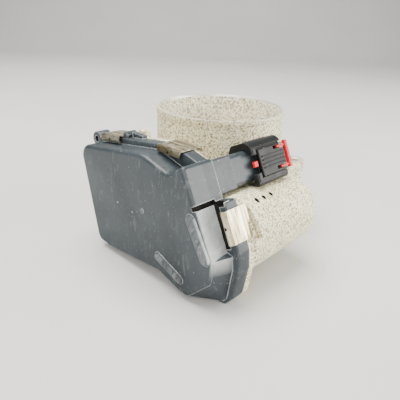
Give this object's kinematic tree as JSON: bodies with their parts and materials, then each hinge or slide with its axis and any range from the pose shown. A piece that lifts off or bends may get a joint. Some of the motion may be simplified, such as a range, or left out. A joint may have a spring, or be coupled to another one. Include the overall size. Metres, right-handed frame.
{
  "type": "electronic throttle body",
  "caption": "Round-bore electronic throttle body: cast housing with motor barrel, plastic gear cover held by spring clips, plugged side connector.",
  "frame": {"origin": "centre of the bounding box's bottom face, in the plane of the engine flange", "axes": "+Z along the bore from the engine flange to the inlet rim; +X along the throttle shaft, away from the gear cover; +Y away from the motor"},
  "size_m": [0.1458, 0.1368, 0.085],
  "materials": {
    "cast_aluminium": "sand-textured casting, machined bore lead-in and bolt faces",
    "cover_plastic": "glass-filled nylon, satin",
    "black_plastic": "moulded, satin",
    "red_plastic": "moulded",
    "gear_plastic": "natural glass-filled nylon",
    "steel": "ground",
    "clip_steel": "pressed spring steel, yellow passivated",
    "brass": "turned",
    "copper": "wound core",
    "magnet": "sintered",
    "rubber": "moulded",
    "circuit_board": "lacquered"
  },
  "bodies": {
    "housing": {"throttle_housing": "cast_aluminium", "gear_cover": "cover_plastic", "spring_sleeve": "black_plastic", "gear_side_bearing": "steel", "far_side_bearing": "steel", "shaft_end_cap": "steel", "return_spring": "steel", "intermediate_gear_pin": "steel", "motor_can": "steel", "motor_end_plate": "steel", "motor_screw_1": "steel", "motor_screw_2": "steel", "motor_wave_washer": "steel", "cover_clip_top": "clip_steel", "cover_clip_top_far": "clip_steel", "cover_clip_motor_side": "clip_steel", "cover_clip_bottom": "clip_steel", "cover_clip_far_side": "clip_steel", "motor_bush": "brass", "motor_terminal_1": "brass", "motor_terminal_2": "brass", "connector_pin_1": "brass", "connector_pin_2": "brass", "connector_pin_3": "brass", "connector_pin_4": "brass", "connector_pin_5": "brass", "connector_pin_6": "brass", "motor_magnet_top": "magnet", "motor_magnet_bottom": "magnet", "flange_seal": "rubber", "cover_seal": "rubber", "gear_side_shaft_seal": "rubber", "far_side_shaft_seal": "rubber", "sensor_board": "circuit_board"},
    "throttle": {"throttle_shaft": "steel", "throttle_plate": "brass", "plate_screw_1": "steel", "plate_screw_2": "steel", "throttle_gear": "gear_plastic", "sensor_magnet": "magnet"},
    "intermediate": {"intermediate_gear": "gear_plastic"},
    "motor_rotor": {"motor_pinion": "brass", "motor_shaft": "steel", "motor_armature": "copper"},
    "harness_plug": {"plug_housing": "black_plastic", "plug_wire_seal": "rubber", "plug_seal": "rubber", "plug_lock_block": "red_plastic", "plug_terminal_1": "brass", "plug_terminal_2": "brass", "plug_terminal_3": "brass", "plug_terminal_4": "brass", "plug_terminal_5": "brass", "plug_terminal_6": "brass"},
    "latch": {"plug_latch": "black_plastic"},
    "position_lock": {"plug_position_lock": "red_plastic"}
  },
  "joints": [
    {"name": "throttle_turn", "type": "hinge", "parent": "housing", "child": "throttle", "pos_m": [0.0211, 0.02075, 0.0405], "axis": [1, 0, 0], "range_deg": [-7, 77], "stiffness_Nm_per_rad": 0.35},
    {"name": "intermediate_turn", "type": "hinge", "parent": "housing", "child": "intermediate", "pos_m": [-0.0589, -0.01425, 0.04093], "axis": [1, 0, 0], "range_deg": [-262, 25]},
    {"name": "motor_turn", "type": "hinge", "parent": "housing", "child": "motor_rotor", "pos_m": [-0.0189, -0.04525, 0.033], "axis": [1, 0, 0], "range_deg": [-86, 930]},
    {"name": "plug_pull", "type": "slide", "parent": "housing", "child": "harness_plug", "axis": [1, 0, 0], "range_m": [0, 0.03]},
    {"name": "latch_press", "type": "hinge", "parent": "harness_plug", "child": "latch", "pos_m": [-0.0049, -0.0443, 0.07018], "axis": [0, 0.4368, 0.8996], "range_deg": [0, 5], "stiffness_Nm_per_rad": 0.05},
    {"name": "position_lock_slide", "type": "slide", "parent": "harness_plug", "child": "position_lock", "axis": [1, 0, 0], "range_m": [0, 0.004]}
  ],
  "couplings": [
    {"joint": "intermediate_turn", "follows": "throttle_turn", "ratio": -3.375},
    {"joint": "motor_turn", "follows": "throttle_turn", "ratio": 12.054}
  ]
}
